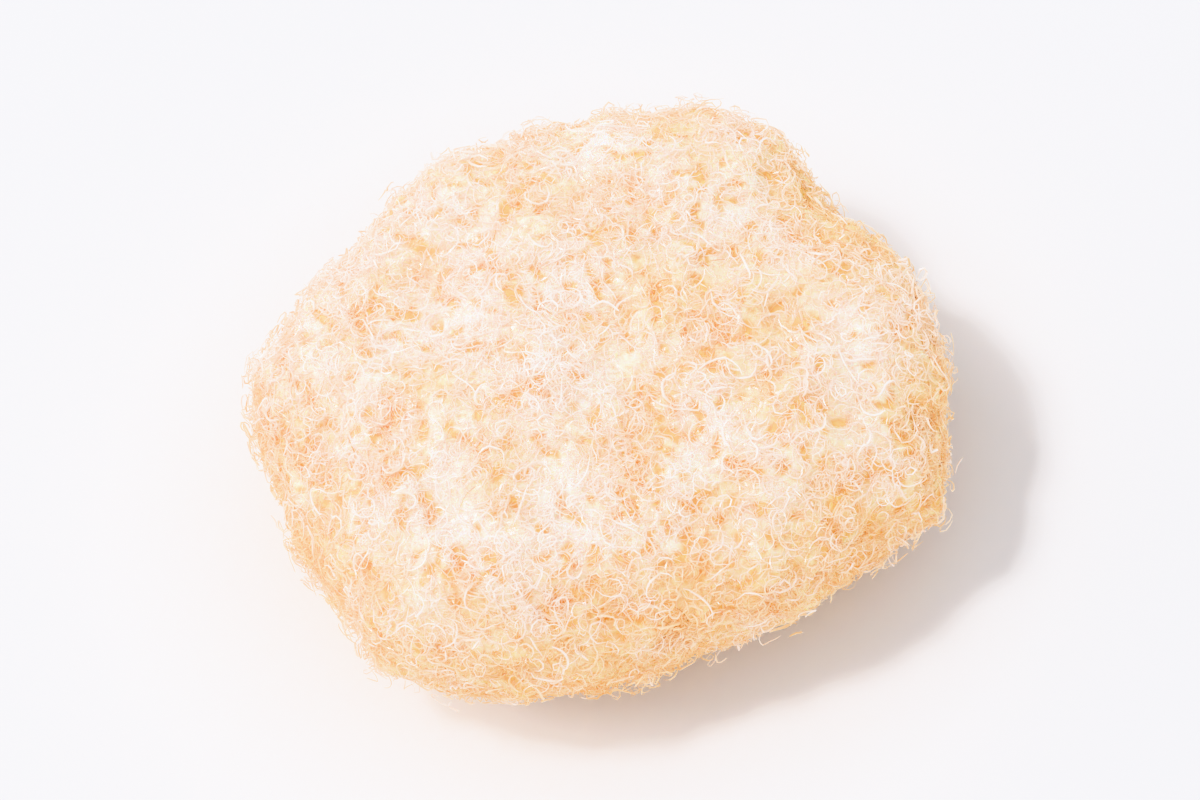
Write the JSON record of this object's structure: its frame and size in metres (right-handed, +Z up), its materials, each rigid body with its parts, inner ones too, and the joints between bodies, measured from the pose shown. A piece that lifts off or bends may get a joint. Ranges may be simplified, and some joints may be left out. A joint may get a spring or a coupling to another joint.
{
  "type": "edible bird's nest cake",
  "caption": "Round, puffy cake of matted dried nest strands, ivory and peach, domed on top and cut to a small flat spot underneath.",
  "frame": {"origin": "centre of the cake's outer box on the surface it rests on", "axes": "+X along the longest way across the cake, +Y across it, +Z up through the domed top"},
  "size_m": [0.056, 0.049, 0.023],
  "materials": {
    "dried_strands": "matted, translucent, faintly glossy strands"
  },
  "bodies": {
    "root": {"nest_cake": "dried_strands"}
  },
  "joints": []
}
